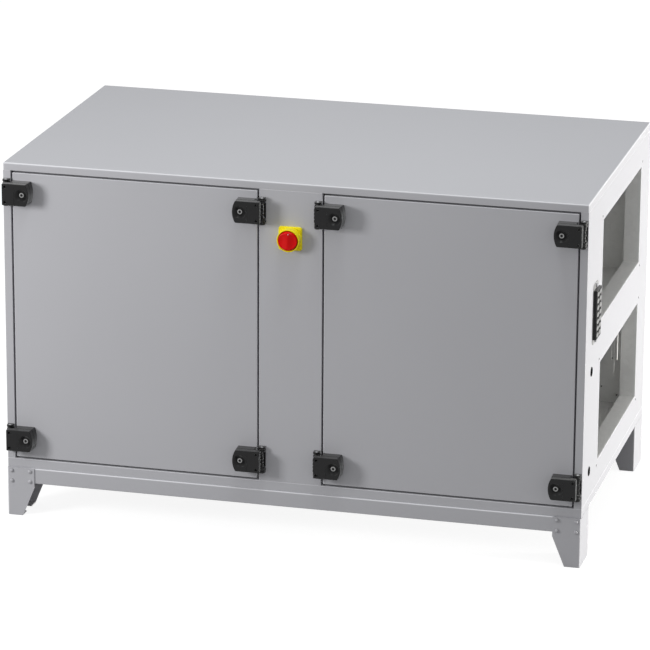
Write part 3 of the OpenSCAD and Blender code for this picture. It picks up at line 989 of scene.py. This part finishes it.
def plate_line(inset):
    """Rounded square of the switch's plate, moved inwards by inset."""
    half = plate_side / 2 - inset
    return rect_loop((-half, -half), (half, half), plate_corner - inset, 8)


plate_rings = [raised(plate_line(0), 0)]
for inset, drop in rim(plate_ease):
    plate_rings.append(raised(plate_line(inset), plate_t - drop))
collar = turned([(r * mm, h * mm) for r, h in collar_line], 96)
put("switch_body", [on_switch(loft(plate_rings)), on_switch(collar)],
    yellow, nodes=["switch_plate"])


def eased(value):
    """Smooth step from 0 to 1."""
    t = np.clip(value, 0, 1)
    return t * t * (3 - 2 * t)


def knob_shape():
    """Knob: a turned skirt, and over its face a roof with a rounded ridge, hollowed a little on both
    flanks, that settles back to the rim. With a ridge e, a spread S and a face of radius R, its height is
    face + rise f(r) (1 - (sqrt(x^2 + e^2) - e) / S) - scoop s(|x|) (1 - (r / R)^4), where f is a smooth
    step over the rim and s is one across each flank."""
    angle = np.linspace(0, 2 * math.pi, 96, endpoint=False)
    radius = np.concatenate([np.linspace(face_r, 1 * mm, 26), [0.3 * mm]])[:, None]
    x = radius * np.cos(angle)
    y = radius * np.sin(angle)
    fade = eased((fade_r - radius) / fade_band)
    grip = grip_rise * (1 - (np.sqrt(x ** 2 + ridge ** 2) - ridge) / spread).clip(0) * fade
    dip = scoop * eased(np.abs(x) / flank) * (1 - (radius / face_r) ** 4)
    face = np.stack([x, y, knob_face + grip - dip], -1)
    rings = np.stack([raised(round_loop((0, 0), r * mm, 96), h * mm) for r, h in skirt_line])
    return loft(np.concatenate([rings, face]))


put("switch_turn_knob", [on_switch(knob_shape())], red, "knob", ["switch_knob"])
mark_low = (0.9 * mm, 17.4 * mm, knob_face + 2 * mm)
mark_high = (3.3 * mm, 19.8 * mm, knob_face + grip_rise - 0.1 * mm)
mark_round = 0.3 * mm
put("switch_mark", [on_switch(slab(mark_low, mark_high, mark_round))], white, "knob")


# Studio: a pale floor that keeps the unit's soft shadow, a bright even surround, one soft lamp at the front
# left, one from the right and one above, and a long lens from the right of the doors and a little above.
floor_half = 30.0
floor_base, floor_glow = (0.30, 0.30, 0.30, 1.0), (0.88, 0.88, 0.88, 1.0)
ambient = 0.50
camera_place = (2.4609, -9.6814, 3.5283)
azimuth, elevation, roll = math.radians(14.380), math.radians(17.128), math.radians(0.350)


def shown_rays(wire):
    """1 on rays from the camera, a glossy surface or a clear one, and 0 on rays that only gather light."""
    kinds = ("Is Camera Ray", "Is Glossy Ray", "Is Transmission Ray")
    seen, mirrored, through = [wire.node("ShaderNodeLightPath", {}, {}, out=kind) for kind in kinds]
    return seen + mirrored + through


floor_mesh = bpy.data.meshes.new("studio_floor")
floor_corners = [(floor_half * x, floor_half * y, 0) for x, y in ((-1, -1), (1, -1), (1, 1), (-1, 1))]
floor_mesh.from_pydata(floor_corners, [], [(0, 1, 2, 3)])
floor = bpy.data.objects.new("studio_floor", floor_mesh)
bpy.context.scene.collection.objects.link(floor)
pale, spot = new_finish("pale_floor")
dress(pale, {
    "Base Color": floor_base,
    "Roughness": 0.9,
    "Specular IOR Level": 0.0,
    "Emission Color": blend(shown_rays(spot), (0.0, 0.0, 0.0, 1.0), floor_glow),
    "Emission Strength": 1.0,
})
floor_mesh.materials.append(pale)

world = bpy.data.worlds.new("surround")
world.use_nodes = True
bpy.context.scene.world = world
surround = world.node_tree.nodes["Background"]
unseen = 1 - shown_rays(Wire(surround.outputs["Background"]))
level = 1 - (1 - ambient) * unseen
world.node_tree.links.new(level.socket, surround.inputs["Strength"])
surround.inputs["Color"].default_value = (1.0, 1.0, 1.0, 1.0)


def lamp(name, place, target, size, watts, tint=(1.0, 1.0, 1.0)):
    """Square soft lamp at place, turned to face target."""
    light = bpy.data.lights.new(name, "AREA")
    light.size = size
    light.color = tint
    light.energy = watts
    holder = bpy.data.objects.new(name, light)
    holder.location = place
    holder.rotation_euler = (Vector(target) - Vector(place)).to_track_quat("-Z", "Y").to_euler()
    bpy.context.scene.collection.objects.link(holder)


lamp("front_left_lamp", (-2.2, -2.1, 1.35), (-0.3, -0.3, 0.65), 0.7, 35.5)
lamp("right_lamp", (4.2, 0.8, 0.42), (0.75, 0.1, 0.3), 0.84, 159.0, (1.0, 0.99, 0.95))
lamp("top_lamp", (0.35, -0.75, 4.0), (0.0, 0.0, 0.9), 0.9, 40.5, (0.96, 1.0, 1.0))

backward = Vector((math.sin(azimuth) * math.cos(elevation),
                   -math.cos(azimuth) * math.cos(elevation), math.sin(elevation)))
level_right = Vector((math.cos(azimuth), math.sin(azimuth), 0.0))
level_up = backward.cross(level_right)
camera_right = math.cos(roll) * level_right + math.sin(roll) * level_up
camera_up = math.cos(roll) * level_up - math.sin(roll) * level_right
lens = bpy.data.cameras.new("studio_camera")
lens.sensor_width = 36.0
lens.lens = 222.77
lens.clip_end = 100.0
camera = bpy.data.objects.new("studio_camera", lens)
turn = Matrix((camera_right, camera_up, backward)).transposed()
camera.matrix_world = Matrix.Translation(camera_place) @ turn.to_4x4()
bpy.context.scene.collection.objects.link(camera)
bpy.context.scene.camera = camera
bpy.context.scene.view_settings.view_transform = "Standard"
